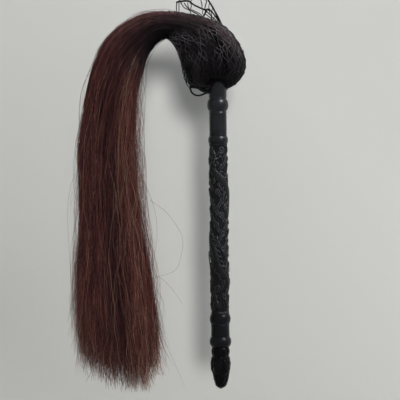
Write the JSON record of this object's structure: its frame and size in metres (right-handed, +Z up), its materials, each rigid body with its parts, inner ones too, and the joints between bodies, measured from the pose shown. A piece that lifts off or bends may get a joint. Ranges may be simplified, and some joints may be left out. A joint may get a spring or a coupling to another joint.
{
  "type": "fly whisk",
  "caption": "Fly whisk with a turned and carved dark wooden handle, a netted horsehair head and a long hanging tail that swings, sways and curls; hangs by its net",
  "frame": {"origin": "where the hook bears in the hanging loop, the top of the loop's opening", "axes": "+Z up along the handle's vertical axis, the hair bends over towards -X, -Y is the side the picture shows"},
  "size_m": [0.2115, 0.0656, 0.5256],
  "materials": {
    "lacquered_wood": "satin",
    "bare_wood": "matte",
    "dark_hair": "satin",
    "brown_hair": "satin",
    "net_thread": "matte"
  },
  "bodies": {
    "handle": {"neck_sleeve": "lacquered_wood", "upper_ring": "lacquered_wood", "carved_grip": "lacquered_wood", "lower_ring": "lacquered_wood", "butt_sleeve": "lacquered_wood", "pommel_ring": "lacquered_wood", "pommel_bud": "lacquered_wood", "upper_dowel": "bare_wood", "lower_dowel": "bare_wood", "head_core": "bare_wood", "root_hair": "dark_hair", "hair_lock_front": "dark_hair", "hair_lock_front_right": "dark_hair", "hair_lock_right": "dark_hair", "hair_lock_back": "dark_hair", "hair_lock_left": "dark_hair", "hair_arc": "dark_hair", "hair_shoulder": "dark_hair", "root_binding": "net_thread", "net_bag": "net_thread", "net_rim_cord": "net_thread", "net_rim_loop": "net_thread", "net_tent": "net_thread", "hang_knot": "net_thread", "hang_loop": "net_thread"},
    "hair_fall": {"hair_fall": "brown_hair", "hair_nape": "brown_hair"},
    "upper_tail": {"hair_tail_upper": "brown_hair", "hair_waist": "brown_hair"},
    "lower_tail": {"hair_tail_lower": "brown_hair"}
  },
  "joints": [
    {"name": "tail_swing", "type": "hinge", "parent": "handle", "child": "hair_fall", "pos_m": [-0.1122, 0, -0.1457], "axis": [0, 1, 0], "range_deg": [-6, 90], "deforming": ["hair_shoulder"]},
    {"name": "tail_sway", "type": "hinge", "parent": "hair_fall", "child": "upper_tail", "pos_m": [-0.1103, 0, -0.217], "axis": [1, 0, 0], "range_deg": [-45, 45], "deforming": ["hair_nape"]},
    {"name": "tail_curl", "type": "hinge", "parent": "upper_tail", "child": "lower_tail", "pos_m": [-0.1061, 0, -0.345], "axis": [0, 1, 0], "range_deg": [-5, 40], "deforming": ["hair_waist"]}
  ]
}
